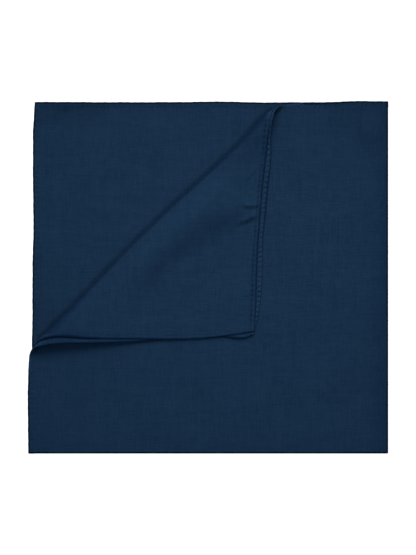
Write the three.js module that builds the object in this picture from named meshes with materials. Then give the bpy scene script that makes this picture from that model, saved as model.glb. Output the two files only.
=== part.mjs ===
import * as THREE from 'three';

// A square cotton bandana folded in quarters and laid flat, with the open corner of its two upper
// layers turned back over it along a diagonal. Millimetres, +Z up, +X right, +Y to the back, and the
// origin under the middle of the folded square. Layers count from the bottom: 1 and 2 lie under the
// whole square, 3 becomes the face of the turned corner, and 4 is the face of the folded square.

// The folded square and its cloth
const foldedWidth = 275;
const foldedDepth = 268.4;
const panelThickness = 1.0;
const hemThickness = 1.2;
const hemWidth = 4;
const layerPitch = 1.5;
const seamGap = 0.3;
const cloth = { color: 0x182e45, roughness: 0.9, metalness: 0 };

// The fold of the turned corner runs from its left end to its back end as seen from above
const foldLeftEnd = new THREE.Vector2(-127, -42.9);
const foldBackEnd = new THREE.Vector2(44.1, 124.7);

// Sections across that fold, by the distance along it from its left end: how far its brow stands out
// from the straight line, the middle radius of its outer layer, and the length over which the turned
// corner settles down behind it
const foldSections = [
  { along: -25, out: -3.2, radius: 5.2, settle: 30 },
  { along: -12, out: -2.6, radius: 5.2, settle: 30 },
  { along: -3, out: -1.3, radius: 5.1, settle: 29 },
  { along: 8, out: 0, radius: 4.9, settle: 27 },
  { along: 35, out: -1, radius: 3.9, settle: 22 },
  { along: 98, out: 0.7, radius: 2.9, settle: 11 },
  { along: 140, out: 0.4, radius: 2.8, settle: 10 },
  { along: 195, out: -1.5, radius: 2.9, settle: 11 },
  { along: 215, out: -1.2, radius: 3.4, settle: 14 },
  { along: 237, out: 0, radius: 4.3, settle: 18 },
  { along: 250, out: -1.9, radius: 4.7, settle: 20 },
  { along: 265, out: -2.5, radius: 4.8, settle: 20 },
];
const settledRadius = 3;
const foldInfluence = 45;

// Edges of the two lower layers
const lowerLeftEdge = [
  { y: -134.2, x: -134.4 },
  { y: -52, x: -134.2 },
  { y: 12, x: -133.7 },
  { y: 40, x: -133.1 },
  { y: 104, x: -133.5 },
  { y: 122, x: -132.8 },
  { y: 134.2, x: -132 },
];
const lowerBackEdge = [
  { x: -132, y: 134.2 },
  { x: -90, y: 134.2 },
  { x: -60, y: 133.9 },
  { x: 17, y: 134.2 },
  { x: 35, y: 133.9 },
  { x: 137.5, y: 134 },
];
const bottomLayerInset = 0.4;

// Edges of the two upper layers: where they lie flat, and where they are turned back
const topEdges = {
  laidLeft: [{ x: -137.4, y: -150 }, { x: -137.4, y: -69 }, { x: -137.1, y: -64 }],
  laidBack: [
    { x: 150, y: 134.6 },
    { x: 110, y: 134.3 },
    { x: 80, y: 133.3 },
    { x: 62.3, y: 132.3 },
    { x: 58.1, y: 131.2 },
  ],
  flapFront: [
    { x: -129.9, y: -52.8 },
    { x: -122.2, y: -51 },
    { x: -90.9, y: -49.8 },
    { x: -58, y: -48.9 },
    { x: -34.4, y: -47.3 },
    { x: 0.5, y: -45.6 },
    { x: 24.2, y: -46.3 },
    { x: 33.7, y: -43.4 },
  ],
  flapRight: [
    { x: 49.9, y: 124.1 },
    { x: 48, y: 116.4 },
    { x: 47.8, y: 92.8 },
    { x: 44.6, y: 58.5 },
    { x: 42.1, y: 32.3 },
    { x: 40.8, y: -4.6 },
    { x: 38.3, y: -28.2 },
    { x: 35, y: -41.6 },
  ],
  tipOut: -112.5,
};
const turnedEdges = {
  laidLeft: [{ x: -136.7, y: -150 }, { x: -136.7, y: -69 }, { x: -136.4, y: -64 }],
  laidBack: [
    { x: 150, y: 133.9 },
    { x: 110, y: 133.6 },
    { x: 80, y: 132.6 },
    { x: 62.3, y: 131.6 },
    { x: 58.1, y: 130.5 },
  ],
  flapFront: [
    { x: -127.5, y: -47.4 },
    { x: -122.2, y: -46 },
    { x: -90.9, y: -46.3 },
    { x: -21.3, y: -47 },
    { x: 0.5, y: -45.8 },
    { x: 26.7, y: -42.3 },
    { x: 33.7, y: -41.1 },
  ],
  flapRight: [
    { x: 47.3, y: 122.6 },
    { x: 43.3, y: 85.5 },
    { x: 40.1, y: 51.9 },
    { x: 38, y: 24.1 },
    { x: 36.5, y: -17.9 },
    { x: 35.2, y: -39.3 },
  ],
  tipOut: -110.9,
};

// Worked out from the sizes above
const halfWidth = foldedWidth / 2;
const halfDepth = foldedDepth / 2;
const levelHeight = (level) => hemThickness / 2 + (level - 1) * layerPitch;
const pairRadius = layerPitch / 2;
const rightFoldHeight = (levelHeight(1) + levelHeight(4)) / 2;
const rightFoldX = halfWidth - rightFoldHeight;
const frontFoldY = -halfDepth + pairRadius + hemThickness / 2;
const pairFoldSlack = 0.25;
const outerFoldSlack = 0.07;
const pairFoldEnd = Math.PI / 2 - pairFoldSlack;
const outerFoldEnd = Math.PI / 2 - outerFoldSlack;
const frontEndY = frontFoldY - pairRadius * pairFoldEnd;
const rungHem = hemWidth * Math.SQRT2;
const rungSeam = (hemWidth + seamGap) * Math.SQRT2;

function layer(level, edges) {
  const outer = level === 1 || level === 4;
  const rightRadius = Math.abs(levelHeight(level) - rightFoldHeight);
  return {
    level,
    edges,
    above: level > 2 ? 1 : -1,
    overFront: level % 2 === 0 ? 1 : -1,
    rightRadius,
    rightEndX: rightFoldX + rightRadius * (outer ? outerFoldEnd : pairFoldEnd),
    insideFold: level === 4 ? layerPitch : 0,
  };
}

const bottomLayer = layer(1, null);
const secondLayer = layer(2, null);
const turnedLayer = layer(3, turnedEdges);
const topLayer = layer(4, topEdges);

// A smooth curve through a table's rows, straight beyond its ends
function tableCurve(rows, from, to) {
  const at = rows.map((row) => row[from]);
  const value = rows.map((row) => row[to]);
  const step = at.slice(1).map((position, i) => (value[i + 1] - value[i]) / (position - at[i]));
  const slope = at.map((_, i) => ((step[i - 1] ?? step[i]) + (step[i] ?? step[i - 1])) / 2);
  return (position) => {
    const last = at.length - 1;
    if (position <= at[0]) return value[0] + slope[0] * (position - at[0]);
    if (position >= at[last]) return value[last] + slope[last] * (position - at[last]);
    const i = at.findIndex((start, k) => position < at[k + 1]);
    const width = at[i + 1] - at[i];
    const part = (position - at[i]) / width;
    const bend = part * part * (3 - 2 * part);
    const lead = part * (1 - part) * (1 - part) * slope[i] * width;
    const trail = part * part * (part - 1) * slope[i + 1] * width;
    return value[i] + bend * (value[i + 1] - value[i]) + lead + trail;
  };
}

// Distances along the fold of the turned corner and out from it, towards the open corner
const foldDirection = foldBackEnd.clone().sub(foldLeftEnd).normalize();
const foldOutward = new THREE.Vector2(-foldDirection.y, foldDirection.x);

function toFold({ x, y }) {
  const offset = new THREE.Vector2(x, y).sub(foldLeftEnd);
  return { along: offset.dot(foldDirection), out: offset.dot(foldOutward) };
}

function fromFold(along, out) {
  return foldLeftEnd.clone().addScaledVector(foldDirection, along).addScaledVector(foldOutward, out);
}

function edgeAlong(points) {
  const rows = points.map(toFold).sort((a, b) => a.out - b.out);
  return tableCurve(rows, 'out', 'along');
}

const firstSection = foldSections[0].along;
const lastSection = foldSections[foldSections.length - 1].along;
const sectionCurves = ['out', 'radius', 'settle'].map((name) => tableCurve(foldSections, 'along', name));

function foldSection(along) {
  const position = THREE.MathUtils.clamp(along, firstSection, lastSection);
  const [out, radius, settle] = sectionCurves.map((curve) => curve(position));
  return { out, radius, settle };
}

// A point of a flat layer, height being its place above the layer's middle. The front fold joins each
// lower layer of a pair to its upper one. The right fold joins layer 1 to 4 around layers 2 and 3.
function laidPoint(sheet, x, y, height) {
  const frontTurn = Math.max(0, (frontFoldY - y) / pairRadius);
  const frontRadius = pairRadius + sheet.overFront * height;
  const bentY = frontTurn > 0 ? frontFoldY - frontRadius * Math.sin(frontTurn) : y;
  const bentHeight = sheet.overFront * (frontRadius * Math.cos(frontTurn) - pairRadius);
  const rightTurn = Math.max(0, (x - rightFoldX) / sheet.rightRadius);
  const radius = sheet.rightRadius + sheet.above * bentHeight;
  const bentX = rightTurn > 0 ? rightFoldX + radius * Math.sin(rightTurn) : x;
  const bentZ = rightFoldHeight + sheet.above * radius * Math.cos(rightTurn);
  return new THREE.Vector3(bentX, bentY, bentZ);
}

// A rung is a line across an upper layer beside the fold: flat at a depth behind the fold, at an angle
// round it, or on the turned corner at a depth behind the fold
function rungOut(rung, along) {
  const { out, radius } = foldSection(along);
  const near = 1 - THREE.MathUtils.smoothstep(rung.depth, 0, foldInfluence);
  return near * (out - radius) - (1 - near) * settledRadius - rung.depth;
}

// Where a rung meets an edge, closed in on step by step because a rung bends with the fold
const meetPasses = 12;

function meet(edge, rung) {
  let along = edge(-settledRadius - rung.depth);
  for (let pass = 0; pass < meetPasses; pass += 1) along = edge(rungOut(rung, along));
  return along;
}

function rungPoint(sheet, rung, along, height) {
  const { out, radius, settle } = foldSection(along);
  if (rung.stretch === 'laid') {
    const { x, y } = fromFold(along, rungOut(rung, along));
    return laidPoint(sheet, x, y, height);
  }
  const low = levelHeight(sheet.level);
  const roll = radius - sheet.insideFold;
  if (rung.stretch === 'roll') {
    const reach = roll - height;
    const { x, y } = fromFold(along, out - radius + reach * Math.sin(rung.angle));
    return new THREE.Vector3(x, y, low + roll - reach * Math.cos(rung.angle));
  }
  const { x, y } = fromFold(along, rungOut(rung, along));
  const flat = low + 3 * layerPitch - 2 * sheet.insideFold;
  const rise = low + 2 * roll - flat;
  return new THREE.Vector3(x, y, flat + rise * Math.exp(-((rung.depth / settle) ** 2)) - height);
}

// Where a rung starts and ends on the panel, on the hem of the left edge and on that of the back edge
function rungSpans(sheet, rung) {
  if (rung.stretch === 'roll') {
    const laid = rungSpans(sheet, { stretch: 'laid', depth: 0 });
    const flap = rungSpans(sheet, { stretch: 'flap', depth: 0 });
    const turn = rung.angle / Math.PI;
    const between = (name) => laid[name].map((value, i) => THREE.MathUtils.lerp(value, flap[name][i], turn));
    return { panel: between('panel'), left: between('left'), back: between('back') };
  }
  const laid = rung.stretch === 'laid';
  const left = meet(sheet.curves[laid ? 'laidLeft' : 'flapFront'], rung);
  const back = meet(sheet.curves[laid ? 'laidBack' : 'flapRight'], rung);
  const front = laid ? meet(sheet.curves.front, rung) : -Infinity;
  const right = laid ? meet(sheet.curves.right, rung) : Infinity;
  const middle = (left + back) / 2;
  const mitre = seamGap / 2;
  return {
    panel: [Math.max(left + rungSeam, front), Math.min(back - rungSeam, right)],
    left: [Math.max(left, front), laid ? left + rungHem : Math.min(left + rungHem, middle - mitre)],
    back: [laid ? back - rungHem : Math.max(back - rungHem, middle + mitre), Math.min(back, right)],
  };
}

for (const sheet of [turnedLayer, topLayer]) {
  const { laidLeft, laidBack, flapFront, flapRight } = sheet.edges;
  sheet.curves = {
    laidLeft: edgeAlong(laidLeft),
    laidBack: edgeAlong(laidBack),
    flapFront: edgeAlong(flapFront),
    flapRight: edgeAlong(flapRight),
    front: edgeAlong([{ x: -halfWidth, y: frontEndY }, { x: halfWidth, y: frontEndY }]),
    right: edgeAlong([{ x: sheet.rightEndX, y: -halfDepth }, { x: sheet.rightEndX, y: halfDepth }]),
  };
}

// The depth at which a piece narrows to the given width, between depths where it is wider and narrower
const narrowingPasses = 40;

function depthOfWidth(sheet, stretch, name, width, wide, narrow) {
  const span = (depth) => {
    const [start, end] = rungSpans(sheet, { stretch, depth })[name];
    return end - start;
  };
  let [inside, outside] = [wide, narrow];
  for (let pass = 0; pass < narrowingPasses; pass += 1) {
    const middle = (inside + outside) / 2;
    if (span(middle) > width) inside = middle;
    else outside = middle;
  }
  return inside;
}

const depthAt = (x, y) => -toFold({ x, y }).out - settledRadius;

// Rungs of an upper layer's piece, from its far end to the tip of the turned corner
const rollSteps = 10;
const flapDepths = [0, 4, 9, 15, 22, 32, 45, 60, 80, 95, 103];
const wideFlapDepth = 60;
const panelTipWidth = 0.8;
const hemEndWidth = 0.4;

function rungsOf(sheet, name, laidDepths) {
  const tipDepth = -sheet.edges.tipOut - settledRadius;
  const lastDepth = name === 'panel'
    ? depthOfWidth(sheet, 'flap', name, panelTipWidth, wideFlapDepth, tipDepth)
    : tipDepth;
  const laid = laidDepths.sort((a, b) => b - a).map((depth) => ({ stretch: 'laid', depth }));
  const angles = Array.from({ length: rollSteps - 1 }, (_, i) => ((i + 1) * Math.PI) / rollSteps);
  const roll = angles.map((angle) => ({ stretch: 'roll', angle }));
  const depths = flapDepths.filter((depth) => depth < lastDepth - 1);
  const flap = [...depths, lastDepth].map((depth) => ({ stretch: 'flap', depth }));
  return [...laid, ...roll, ...flap];
}

// A closed wall over a grid of points, side being 1 on its upper face and -1 on its lower one
function wallGeometry(rows, columns, pointAt) {
  const positions = [];
  for (const side of [1, -1]) {
    for (let i = 0; i < rows; i += 1) {
      for (let j = 0; j < columns; j += 1) positions.push(...pointAt(i, j, side).toArray());
    }
  }
  const faces = [];
  const upper = (i, j) => i * columns + j;
  const lower = (i, j) => rows * columns + i * columns + j;
  const quad = (a, b, c, d) => faces.push(a, b, c, a, c, d);
  for (let i = 0; i < rows - 1; i += 1) {
    for (let j = 0; j < columns - 1; j += 1) {
      quad(upper(i, j), upper(i, j + 1), upper(i + 1, j + 1), upper(i + 1, j));
      quad(lower(i, j), lower(i + 1, j), lower(i + 1, j + 1), lower(i, j + 1));
    }
    quad(upper(i, 0), upper(i + 1, 0), lower(i + 1, 0), lower(i, 0));
    quad(lower(i, columns - 1), lower(i + 1, columns - 1), upper(i + 1, columns - 1), upper(i, columns - 1));
  }
  for (let j = 0; j < columns - 1; j += 1) {
    quad(lower(0, j), lower(0, j + 1), upper(0, j + 1), upper(0, j));
    quad(upper(rows - 1, j), upper(rows - 1, j + 1), lower(rows - 1, j + 1), lower(rows - 1, j));
  }
  const geometry = new THREE.BufferGeometry();
  geometry.setAttribute('position', new THREE.Float32BufferAttribute(positions, 3));
  geometry.setIndex(enclosedVolume(positions, faces) < 0 ? faces.reverse() : faces);
  geometry.computeVertexNormals();
  return geometry;
}

function enclosedVolume(positions, faces) {
  let volume = 0;
  for (let i = 0; i < faces.length; i += 3) {
    const [a, b, c] = [0, 1, 2].map((k) => new THREE.Vector3().fromArray(positions, faces[i + k] * 3));
    volume += a.dot(b.cross(c)) / 6;
  }
  return volume;
}

// How far along or across a rung the front and the right folds round over, and the depths of the rungs
// that follow the rounding from a corner
const frontRounding = () => (pairRadius * pairFoldEnd) / foldDirection.y;
const rightRounding = (sheet) => (sheet.rightEndX - rightFoldX) / foldDirection.x;

function cornerSteps(corner, rounding, steps) {
  return Array.from({ length: steps + 1 }, (_, i) => corner - (rounding * i) / steps);
}

// Places along a rung: close together where the front and right folds round over, even between them
const frontSteps = [0, 0.33, 0.66, 1];
const rightSteps = [1, 0.75, 0.5, 0.25, 0];
const evenSteps = 14;

function placesAlong([start, end], sheet) {
  const shrink = Math.min(1, (end - start) / (3 * (frontRounding() + rightRounding(sheet))));
  const [first, last] = [start + frontRounding() * shrink, end - rightRounding(sheet) * shrink];
  const even = Array.from({ length: evenSteps - 1 }, (_, i) => (i + 1) / evenSteps);
  return [
    ...frontSteps.map((step) => start + (first - start) * step),
    ...even.map((step) => first + (last - first) * step),
    ...rightSteps.map((step) => end + (last - end) * step),
  ];
}

const laidBackY = (sheet, x) => tableCurve([...sheet.edges.laidBack].reverse(), 'x', 'y')(x);
const farCornerSteps = [1.5, 3, 5, 9, 20];
const laidPanelDepths = [190, 140, 95, 45, 30, 18, 8, 0];
const laidHemDepths = [45, 32, 20, 10, 4, 0];

function panelGeometry(sheet) {
  const farDepth = depthAt(sheet.rightEndX, frontEndY);
  const seamX = sheet.edges.laidLeft[0].x + rungSeam * foldDirection.x;
  const backY = laidBackY(sheet, sheet.rightEndX);
  const laidDepths = [
    ...farCornerSteps.map((step) => farDepth - step),
    ...laidPanelDepths,
    ...cornerSteps(depthAt(seamX, frontEndY), frontRounding(), 2),
    ...cornerSteps(depthAt(sheet.rightEndX, backY - rungSeam * foldDirection.y), rightRounding(sheet), 4),
  ];
  const rungs = rungsOf(sheet, 'panel', laidDepths);
  const places = rungs.map((rung) => placesAlong(rungSpans(sheet, rung).panel, sheet));
  const half = panelThickness / 2;
  return wallGeometry(rungs.length, places[0].length, (i, j, side) =>
    rungPoint(sheet, rungs[i], places[i][j], side * half));
}

// The hem of an upper layer's left or back edge, from the fold where it starts, round the roll of the
// turned corner and on to the tip, where the two hems meet in a mitre
function upperHemGeometry(sheet, name) {
  const left = name === 'left';
  const backY = laidBackY(sheet, sheet.rightEndX);
  const corner = left
    ? depthAt(sheet.edges.laidLeft[0].x, frontEndY)
    : depthAt(sheet.rightEndX, backY);
  const start = depthOfWidth(sheet, 'laid', name, hemEndWidth, corner - hemWidth, corner + 3 * hemWidth);
  const steps = left ? 2 : 4;
  const rounding = left ? frontRounding() : rightRounding(sheet);
  const end = cornerSteps(start, start - corner, steps).slice(0, steps);
  const laidDepths = [...end, ...cornerSteps(corner, rounding, steps), ...laidHemDepths];
  const rungs = rungsOf(sheet, name, laidDepths);
  const spans = rungs.map((rung) => rungSpans(sheet, rung)[name]);
  const half = hemThickness / 2;
  return wallGeometry(rungs.length, steps + 1, (i, j, side) =>
    rungPoint(sheet, rungs[i], THREE.MathUtils.lerp(...spans[i], j / steps), side * half));
}

// The hem of a lower layer's left or back edge, with a mitre where the two meet
const lowerLeft = tableCurve(lowerLeftEdge, 'y', 'x');
const lowerBack = tableCurve(lowerBackEdge, 'x', 'y');
const foldSteps = [0, 0.25, 0.5, 0.75, 1];
const frontHemPlaces = foldSteps.map((step) => THREE.MathUtils.lerp(frontEndY, frontFoldY, step));
const leftHemPlaces = [...frontHemPlaces, -52, -20, 12, 40, 72, 104, 122];
const backHemPlaces = [-90, -60, -22, 17, 35, 80, 120];

function lowerHemGeometry(sheet, name, inset) {
  const cornerX = lowerLeft(halfDepth) + inset;
  const cornerY = lowerBack(cornerX) - inset;
  const width = hemWidth - inset;
  const mitre = seamGap / 2;
  const rightPlaces = foldSteps.map((step) => THREE.MathUtils.lerp(rightFoldX, sheet.rightEndX, step));
  const rows = name === 'left'
    ? [
      ...leftHemPlaces.map((y) => [[lowerLeft(y) + inset, y], [lowerLeft(y) + hemWidth, y]]),
      [[cornerX, cornerY - mitre], [cornerX + width, cornerY - width - mitre]],
    ]
    : [
      [[cornerX + mitre, cornerY], [cornerX + width + mitre, cornerY - width]],
      ...[...backHemPlaces, ...rightPlaces]
        .map((x) => [[x, lowerBack(x) - inset], [x, lowerBack(x) - hemWidth]]),
    ];
  const half = hemThickness / 2;
  return wallGeometry(rows.length, 2, (i, j, side) => laidPoint(sheet, ...rows[i][j], side * half));
}

// The two lower layers as one solid: a round front edge where they join, and the lower half of the round
// right edge, whose upper half is the top layer's
const frontTurns = [85, 60, 30, 0].map(THREE.MathUtils.degToRad);
const rightTurns = [0, 20, 40, 60, 82].map(THREE.MathUtils.degToRad);
const underRowPlaces = [-52, 12, 40, 72, 104, 122, 'back'];
const underColumnPlaces = ['left', -90, -60, -22, 17, 50, 90];

function underLayersGeometry() {
  const topHeight = levelHeight(2) + panelThickness / 2;
  const frontRadius = topHeight / 2;
  const seam = hemWidth + seamGap;
  const rows = [
    ...frontTurns.map((turn) => ({ y: frontFoldY, turn })),
    ...underRowPlaces.map((y) => ({ y, turn: 0 })),
  ];
  const columns = [
    ...underColumnPlaces.map((x) => ({ x, turn: 0 })),
    ...rightTurns.map((turn) => ({ x: rightFoldX, turn })),
  ];
  return wallGeometry(rows.length, columns.length, (i, j, side) => {
    const row = rows[i];
    const column = columns[j];
    const nearX = column.x === 'left' ? lowerLeft(halfDepth) + seam : column.x;
    const straightY = row.y === 'back' ? lowerBack(nearX) - seam : row.y;
    const straightX = column.x === 'left' ? lowerLeft(straightY) + seam : column.x;
    const x = straightX + rightFoldHeight * Math.sin(column.turn);
    const y = straightY - frontRadius * Math.sin(row.turn);
    const upper = frontRadius * (1 + Math.cos(row.turn));
    const lower = frontRadius * (1 - Math.cos(row.turn));
    const raised = (rightFoldHeight * (1 - Math.cos(column.turn))) / topHeight;
    return new THREE.Vector3(x, y, side > 0 ? upper : THREE.MathUtils.lerp(lower, upper, raised));
  });
}

const bandana = new THREE.Group();

function add(name, geometry) {
  const mesh = new THREE.Mesh(geometry, new THREE.MeshStandardMaterial(cloth));
  mesh.name = name;
  bandana.add(mesh);
}

add('under_layers', underLayersGeometry());
add('turned_layer', panelGeometry(turnedLayer));
add('top_layer', panelGeometry(topLayer));
const lowerSheets = [['bottom', bottomLayer, bottomLayerInset], ['second', secondLayer, 0]];
for (const [name, sheet, inset] of lowerSheets) {
  add(`${name}_left_hem`, lowerHemGeometry(sheet, 'left', inset));
  add(`${name}_back_hem`, lowerHemGeometry(sheet, 'back', inset));
}
for (const [name, sheet] of [['turned', turnedLayer], ['top', topLayer]]) {
  add(`${name}_left_hem`, upperHemGeometry(sheet, 'left'));
  add(`${name}_back_hem`, upperHemGeometry(sheet, 'back'));
}

export default bandana;
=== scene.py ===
# A plain navy cotton bandana: one hemmed square folded in quarters and laid flat, with the open corner of
# its two upper layers turned back over it. Lengths are in millimetres until they go into a mesh.

import math

import bpy
import numpy as np
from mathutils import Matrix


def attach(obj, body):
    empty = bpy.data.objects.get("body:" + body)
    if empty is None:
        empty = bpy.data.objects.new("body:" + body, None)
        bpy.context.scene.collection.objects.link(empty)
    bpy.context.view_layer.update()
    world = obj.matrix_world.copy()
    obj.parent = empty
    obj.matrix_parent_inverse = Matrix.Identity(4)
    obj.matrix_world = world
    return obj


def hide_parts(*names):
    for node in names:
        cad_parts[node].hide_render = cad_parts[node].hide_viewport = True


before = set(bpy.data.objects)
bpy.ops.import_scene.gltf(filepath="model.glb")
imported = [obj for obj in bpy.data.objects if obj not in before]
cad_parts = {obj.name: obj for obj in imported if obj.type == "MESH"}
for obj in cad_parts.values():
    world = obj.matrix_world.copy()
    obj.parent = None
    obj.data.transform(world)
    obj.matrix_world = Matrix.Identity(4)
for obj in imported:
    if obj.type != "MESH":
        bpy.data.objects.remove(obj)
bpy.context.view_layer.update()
millimetre = 0.001  # in scene units
farAway = 900.0  # the distance that a map holds where no painted line of shade runs
noLimit = 1e4  # further along the turned corner's fold than any point


# The folded square

square = {
    "width": 275.0,
    "depth": 268.4,
    "pitch": 0.8,  # from one layer's middle to the next
    "hemHalf": 0.38,  # half a hem's thickness
    "clothHalf": 0.2,  # half the cloth's thickness
    "underHem": 3.7,  # how far in from the edge a panel starts, inside its hem
}

halfWidth = square["width"] / 2
halfDepth = square["depth"] / 2
pairRadius = square["pitch"] / 2  # of the front fold, in which two layers bend as a pair


def levelHeight(level):
    # the height of a layer's middle: half a hem for the lowest, and one pitch more for each above it
    return square["hemHalf"] + (level - 1) * square["pitch"]


# where the right and front folds start to bend, and where the front one's quarter turn ends, laid straight
rightFoldHeight = (levelHeight(1) + levelHeight(4)) / 2
rightFoldX = halfWidth - 3 * pairRadius - square["clothHalf"]
frontFoldY = -halfDepth + pairRadius + square["clothHalf"]
frontEndY = frontFoldY - pairRadius * math.pi / 2


def curveThrough(at, value):
    # cubic pieces through the given values, each slope the mean of those beside it, straight past the ends
    at, value = np.array(at, float), np.array(value, float)
    step = np.diff(value) / np.diff(at)
    slope = np.concatenate([step[:1], (step[1:] + step[:-1]) / 2, step[-1:]])

    def curve(x):
        x = np.asarray(x, float)
        i = np.clip(np.searchsorted(at, x, side="right") - 1, 0, len(at) - 2)
        width = at[i + 1] - at[i]
        part = (x - at[i]) / width
        bend = part * part * (3 - 2 * part) * (value[i + 1] - value[i])
        lead = part * (1 - part) ** 2 * slope[i] * width
        trail = part * part * (part - 1) * slope[i + 1] * width
        inside = value[i] + bend + lead + trail
        below = value[0] + slope[0] * (x - at[0])
        beyond = value[-1] + slope[-1] * (x - at[-1])
        return np.where(x <= at[0], below, np.where(x >= at[-1], beyond, inside))

    return curve


def smoothStep(x, start, end):
    # 0 before the start, 1 past the end and three squares less two cubes of the share between
    part = np.clip((x - start) / (end - start), 0, 1)
    return part * part * (3 - 2 * part)


# The fold of the turned corner

foldLeftEnd = np.array([-127.0, -42.9])
foldBackEnd = np.array([44.1, 124.7])
foldDirection = (foldBackEnd - foldLeftEnd) / np.linalg.norm(foldBackEnd - foldLeftEnd)
foldOutward = np.array([-foldDirection[1], foldDirection[0]])
settledRadius = 3.0  # rungs far from the fold lie straight, as they would beside a roll of this radius
foldInfluence = 45.0  # how far from the fold a rung still follows its curve
meetRounds = 12  # rounds in which a rung's crossing with an edge settles

# distance along the fold, how far its brow stands out, the roll's middle radius, the length it settles over
foldSections = [
    (-25, -3.2, 5.2, 42),
    (-12, -2.6, 5.2, 42),
    (-3, -1.7, 5.1, 46),
    (8, -1.3, 4.9, 52),
    (22, -1.0, 4.3, 62),
    (40, -0.9, 3.1, 70),
    (60, -0.3, 1.9, 64),
    (98, 0.7, 1.4, 16),
    (140, 0.4, 1.4, 12),
    (195, -1.5, 1.6, 12),
    (215, -1.2, 2.6, 14),
    (237, 0.0, 4.2, 17),
    (250, -1.9, 4.7, 19),
    (265, -2.5, 4.8, 19),
]

sectionColumns = list(zip(*foldSections))
sectionCurves = [curveThrough(sectionColumns[0], column) for column in sectionColumns[1:]]

# points on the open edges of layers 4 and 3, both where they are laid and where they are turned over
upperEdges = {
    4: {
        "laidLeft": [(-137.4, -150), (-137.4, -69), (-137.1, -64)],
        "laidBack": [(150, 134.9), (110, 134.45), (80, 133.4), (62.3, 132.4), (58.1, 131.2)],
        "flapFront": [
            (-129.9, -52.8), (-122.2, -51), (-90.9, -49.8), (-58, -48.9), (-34.4, -47.3), (0.5, -45.6),
            (15.3, -45.2), (24.2, -46.3), (29.2, -45.5), (33.7, -43.4),
        ],
        "flapRight": [
            (49.9, 124.1), (48, 116.4), (47.8, 92.8), (44.6, 58.5), (42.1, 32.3), (40.8, -4.6), (38.3, -28.2),
            (35, -41.6),
        ],
    },
    3: {
        "laidLeft": [(-136.7, -150), (-136.7, -69), (-136.4, -64)],
        "laidBack": [(150, 134.2), (110, 133.6), (80, 132.7), (62.3, 131.7), (58.1, 130.5)],
        "flapFront": [
            (-127.5, -47.4), (-122.2, -46), (-90.9, -46.3), (-58, -46.6), (-21.3, -47), (0.5, -45.8),
            (26.7, -42.3), (33.7, -41.1),
        ],
        "flapRight": [
            (47.3, 122.6), (43.3, 85.5), (41.7, 71.5), (40.1, 51.9), (38, 24.1), (36.9, -1.5), (36.5, -17.9),
            (35.2, -39.3),
        ],
    },
}

# the open edges of the two lower layers: y and x along the left one, x and y along the back one
lowerLeftEdge = [
    (-134.2, -135.0), (-52, -134.8), (-24, -134.5), (12, -134.3), (28, -133.9), (40, -133.7), (58, -133.9),
    (104, -134.1), (113, -134.0), (122, -133.4), (134.2, -132.6),
]
lowerBackEdge = [
    (-132, 134.2), (-90, 134.2), (-75, 134.2), (-45, 134.3), (-15, 134.5), (17, 134.7), (28, 134.3),
    (60, 134.2), (137.5, 134.4),
]

lowerLeft = curveThrough(*zip(*lowerLeftEdge))
lowerBack = curveThrough(*zip(*lowerBackEdge))
bottomLayerInset = 0.4
bottomDrop = (4.0, 12.0)  # how far in from its edges the lowest layer starts and ends its drop to the surface


def toFold(points):
    # a point's place along the fold and out from it, by its products with the fold's two directions
    offset = np.asarray(points, float) - foldLeftEnd
    return offset @ foldDirection, offset @ foldOutward


def fromFold(along, out):
    # the fold's left end, moved along the fold and out from it
    place = foldLeftEnd + along[..., None] * foldDirection + out[..., None] * foldOutward
    return place[..., 0], place[..., 1]


def edgeAlong(points):
    # an edge as a curve: its place along the fold at each distance out from it
    along, out = toFold(points)
    order = np.argsort(out)
    return curveThrough(out[order], along[order])


def foldSection(along):
    # the brow, radius and settling length of the fold at a place along it
    place = np.clip(along, foldSections[0][0], foldSections[-1][0])
    return [curve(place) for curve in sectionCurves]


def rungOut(depth, along):
    # a rung follows the fold near it and straightens away from it
    brow, radius = foldSection(along)[:2]
    near = 1 - smoothStep(depth, 0, foldInfluence)
    return near * (brow - radius) - (1 - near) * settledRadius - depth


def meet(edge, depth):
    # where a rung crosses an edge: each round takes the edge's place at the rung's last distance out
    along = edge(-settledRadius - depth)
    for turn in range(meetRounds):
        along = edge(rungOut(depth, along))
    return along


def outsideBrow(x, y):
    # how far beyond the fold's brow a point of the lower layers lies
    along, out = toFold(np.stack([x, y], axis=-1))
    return out - foldSection(along)[0]


# Relief of the cloth, in its own sizes

def ridge(x, y, start, end, width, height, taper=0.35):
    # height times a bell across the line from start to end, rising and ending smoothly along it
    (x0, y0), (x1, y1) = start, end
    length = math.hypot(x1 - x0, y1 - y0)
    ux, uy = (x1 - x0) / length, (y1 - y0) / length
    along = ((x - x0) * ux + (y - y0) * uy) / length
    across = (-(x - x0) * uy + (y - y0) * ux) / width
    ends = smoothStep(along, -taper, taper) * (1 - smoothStep(along, 1 - taper, 1 + taper))
    return height * np.exp(-across * across) * ends


def swell(x, y, seed, length, height, count=9):
    # a sum of slow sine waves in seeded directions, over the root of their count
    random = np.random.default_rng(seed)
    total = np.zeros_like(x)
    for turn in range(count):
        angle, phase = random.uniform(0, 2 * math.pi, 2)
        wave = length * random.uniform(0.6, 1.7)
        total += np.sin((x * math.cos(angle) + y * math.sin(angle)) * 2 * math.pi / wave + phase)
    return height * total / math.sqrt(count)


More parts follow.
